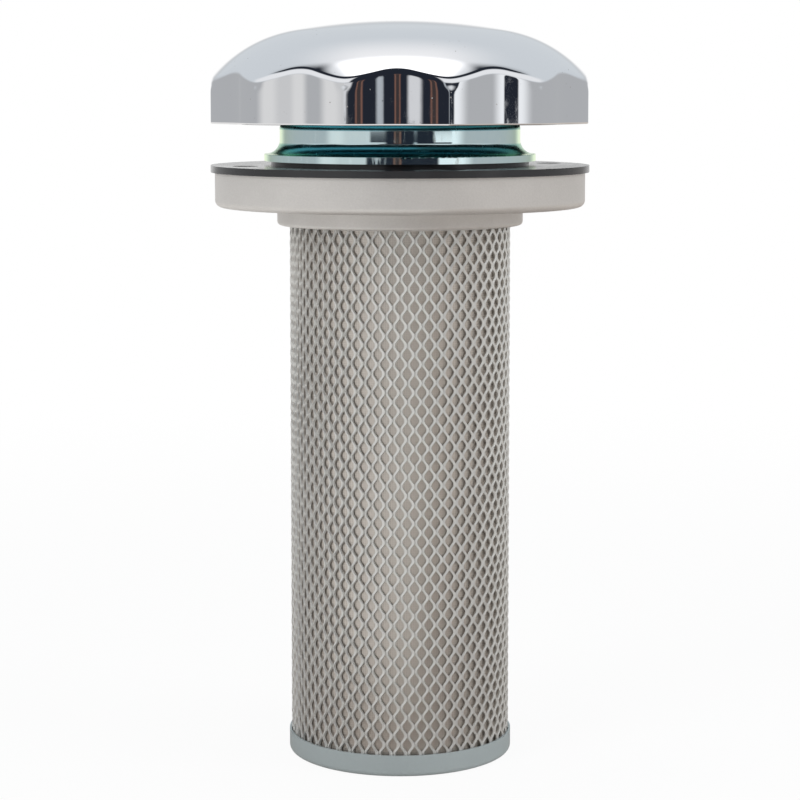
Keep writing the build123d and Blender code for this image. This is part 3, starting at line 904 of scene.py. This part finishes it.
def smooth_copy(node, name, material, finish=None):
    """A copy of a solid's mesh with its loose triangles joined and its round faces smooth.

    A finish is a function that changes the mesh further. Without one, flat bands keep their own
    normals.
    """
    work = bmesh.new()
    work.from_mesh(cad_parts[node].data)
    bmesh.ops.remove_doubles(work, verts=work.verts, dist=JOIN_DISTANCE)
    for edge in work.edges:
        edge.smooth = edge.calc_face_angle(np.pi) < SHARP_EDGE
    mesh = bpy.data.meshes.new(name)
    work.to_mesh(mesh)
    work.free()
    mesh.shade_smooth()
    mesh.materials.clear()
    mesh.materials.append(material)
    made = bpy.data.objects.new(name, mesh)
    bpy.context.scene.collection.objects.link(made)
    if finish:
        finish(mesh)
    else:
        made.modifiers.new("flat_bands", "WEIGHTED_NORMAL").keep_sharp = True
    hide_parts(node)
    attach(made, "root")
    print(name, "has", len(mesh.polygons), "faces")


# %% The neck's section
NECK_HEIGHT = 7.85 * MM
PLATE_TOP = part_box("filler_neck")[1][2] - NECK_HEIGHT
PLATE_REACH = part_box("filler_neck")[1][0]
PLATE_OVERHANG = 3.4 * MM
WALL_REACH = PLATE_REACH - PLATE_OVERHANG
ROOT_RADIUS = 3.0 * MM
TOP_RADIUS = 2.5 * MM
PLATE_ROUND = 0.4 * MM
SQUARENESS = 0.35
SAME_WAY = 0.85


def square_rim(corners):
    """The neck's corners, with the plate's round upper edge drawn out to a nearly square one.

    The edge is a quarter circle about a line inside the rim. Its across and its up, as shares of
    the radius, are raised to a power below one, which pushes the arc out towards the corner.
    """
    reach = np.hypot(corners[:, 0], corners[:, 1])
    level = corners[:, 2]
    across = np.clip((reach - PLATE_REACH + PLATE_ROUND) / PLATE_ROUND, 0, 1)
    up = np.clip((level - PLATE_TOP + PLATE_ROUND) / PLATE_ROUND, 0, 1)
    on_edge = (across > 0) & (up > 0) & (level < PLATE_TOP + JOIN_DISTANCE)
    new_reach = PLATE_REACH - PLATE_ROUND + PLATE_ROUND * across**SQUARENESS
    new_level = level + PLATE_ROUND * (up**SQUARENESS - up)
    stretch = np.where(on_edge, new_reach / reach, 1.0)
    new_level = np.where(on_edge, new_level, level)
    return np.stack([corners[:, 0] * stretch, corners[:, 1] * stretch, new_level], axis=-1)


def section_normals(place):
    """The directions in which the neck's outer section faces.

    Below the wall lies the root's hollow quarter circle, whose normals point at its centre.
    Above the wall lies the top's round quarter circle, whose normals point away from its centre.
    The wall and the plate's rim stand upright and face straight out.
    """
    reach = np.hypot(place[:, 0], place[:, 1])
    root_across = WALL_REACH + ROOT_RADIUS - reach
    root_up = PLATE_TOP + ROOT_RADIUS - place[:, 2]
    top_across = reach - WALL_REACH + TOP_RADIUS
    top_up = place[:, 2] - PLATE_TOP - NECK_HEIGHT + TOP_RADIUS
    in_root = (root_up > 0) & (root_across > 0)
    in_top = (top_up > 0) & (top_across > 0)
    across = np.where(in_root, root_across, np.where(in_top, top_across, 1.0))
    up = np.where(in_root, root_up, np.where(in_top, top_up, 0.0))
    facing = [place[:, 0] * across / reach, place[:, 1] * across / reach, up]
    return np.stack(facing, axis=-1) / np.hypot(across, up)[:, None]


def finish_neck(mesh):
    """Squares the rim, then gives the corners their section's own normals.

    A corner takes that normal only where its face looks nearly the same way.
    """
    corners = square_rim(np.array([corner.co[:] for corner in mesh.vertices]))
    mesh.vertices.foreach_set("co", corners.ravel())
    mesh.update()
    normals = np.array([normal.vector[:] for normal in mesh.corner_normals])
    sizes = [face.loop_total for face in mesh.polygons]
    faced = np.repeat([face.normal[:] for face in mesh.polygons], sizes, axis=0)
    exact = section_normals(corners[[corner.vertex_index for corner in mesh.loops]])
    same = (exact * faced).sum(axis=1) > SAME_WAY
    mesh.normals_split_custom_set(np.where(same[:, None], exact, normals).tolist())


# %% Zinc, spring steel and the matte cup
# Painted shade on the zinc: one band over the plate and the root fillet, and one band from near the
# top up.
ROOT_SHADE_HEIGHT = 2.3 * MM
PAINTED_SHADE_BLUR = 0.3 * MM
CAP_SHADE_START = (5.2 * MM, 5.5 * MM)


def bright_zinc():
    """Bright zinc, painted darker and rougher in two bands: painted reflection by the plate,
    painted shade near the top.
    """
    material, tree, shader, place = surface(
        "bright_zinc", (0.74, 0.9, 0.93), 0.06, edge_tint=(0.9, 0.95, 0.7)
    )
    polish = polish_of(tree, place, 0.2)
    grain = grain_of(tree, place, 1.5)
    colour = blend_colours(tree, grain["Shade"], rgb(0.68, 0.87, 0.93), rgb(0.82, 0.94, 0.93))
    level = add(tree, "ShaderNodeSeparateXYZ", {0: place}).outputs["Z"]
    # Painted reflection: the band by the plate stands for the cap's dark underside mirrored in the
    # hollow fillet. Painted shade: the band near the top stands for the shade under the cap.
    corner = band(tree, level, PLATE_TOP, PLATE_TOP + ROOT_SHADE_HEIGHT, PAINTED_SHADE_BLUR)
    painted_cap_shade = rise(tree, level, *(PLATE_TOP + start for start in CAP_SHADE_START))
    painted_shade = math(tree, "MAXIMUM", corner, painted_cap_shade)
    link(tree, blend_colours(tree, painted_shade, colour, rgb(0.22, 0.52, 0.6)), shader, "Base Color")
    rough = plus(tree, 0.04, polish["Marks"], 0.1)
    link(tree, plus(tree, rough, painted_shade, 0.16), shader, "Roughness")
    return material


def spring_steel():
    """Dark blued spring steel."""
    material, tree, shader, place = surface("spring_steel", (0.3, 0.31, 0.33), 0.35)
    grain = grain_of(tree, place, 1.0)
    link(tree, rise(tree, grain["Shade"], 0.3, 0.7, 0.28, 0.42), shader, "Roughness")
    return material


def matte_pressing():
    """The cup at the basket's foot: a matte blue-grey sheet."""
    material, tree, shader, place = surface("matte_pressing", (0.52, 0.59, 0.6), 0.45, metallic=0.4)
    grain = grain_of(tree, place, 0.6)
    colour = blend_colours(tree, grain["Shade"], rgb(0.42, 0.48, 0.49), rgb(0.49, 0.55, 0.56))
    link(tree, colour, shader, "Base Color")
    bump(tree, shader, grain["Height"], 0.01 * MM)
    return material


# %% Blasted aluminium, rubber and foam
def blasted_casting():
    """The flange: aluminium with the fine pebbled skin that blasting leaves."""
    material, tree, shader, place = surface(
        "blasted_casting", (0.76, 0.735, 0.71), 0.5, metallic=0.75
    )
    grain = grain_of(tree, place, 0.4)
    colour = blend_colours(tree, grain["Shade"], rgb(0.62, 0.595, 0.57), rgb(0.8, 0.775, 0.75))
    link(tree, colour, shader, "Base Color")
    bump(tree, shader, grain["Height"], 0.03 * MM)
    return material


def black_rubber():
    """Smooth black rubber."""
    material, tree, shader, place = surface("black_rubber", (0.02, 0.02, 0.022), 0.32, metallic=0.0)
    grain = grain_of(tree, place, 1.2)
    link(tree, rise(tree, grain["Shade"], 0.3, 0.7, 0.14, 0.24), shader, "Roughness")
    return material


def open_foam():
    """Dark open foam, rough and full of small hollows, with painted shade darkening the hollows."""
    material, tree, shader, place = surface("open_foam", (0.09, 0.09, 0.1), 0.9, metallic=0.0)
    cells = add(tree, "ShaderNodeTexVoronoi", {"Vector": place, "Scale": 900.0})
    depth = cells.outputs["Distance"]
    walls = rise(tree, depth, 0.1, 0.6)
    # Painted shade: the colour is darkest in the hollows and lighter on the cell walls.
    colour = blend_colours(tree, walls, rgb(0.03, 0.03, 0.035), rgb(0.16, 0.16, 0.17))
    link(tree, colour, shader, "Base Color")
    bump(tree, shader, depth, 0.3 * MM)
    return material


# %% The neck, the gasket, the flange and the cup
zinc = bright_zinc()
rubber = black_rubber()
smooth_copy("filler_neck", "plated_neck", zinc, finish_neck)
smooth_copy("flange_gasket", "flat_gasket", rubber)
smooth_copy("mounting_flange", "cast_flange", blasted_casting())
smooth_copy("basket_end_cap", "pressed_cup", matte_pressing())

# %% Which solid gets which finish
FINISHES = {
    rubber: ["neck_seal_ring", "cap_seal"],
    zinc: [
        "breather_pan",
        "element_core",
        "shell_stud",
        "bayonet_plate",
        "stud_washer",
        "stud_nut",
    ],
    strands.data.materials[0]: ["basket_collar", "basket_top_hoop", "basket_bottom_hoop"],
    spring_steel(): ["disc_spring"],
    open_foam(): ["filter_foam"],
}
for material, nodes in FINISHES.items():
    for node in nodes:
        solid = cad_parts[node]
        solid.data.materials.clear()
        solid.data.materials.append(material)
finished = sum(len(nodes) for nodes in FINISHES.values())
print(finished, "of", len(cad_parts), "solids keep their own mesh")
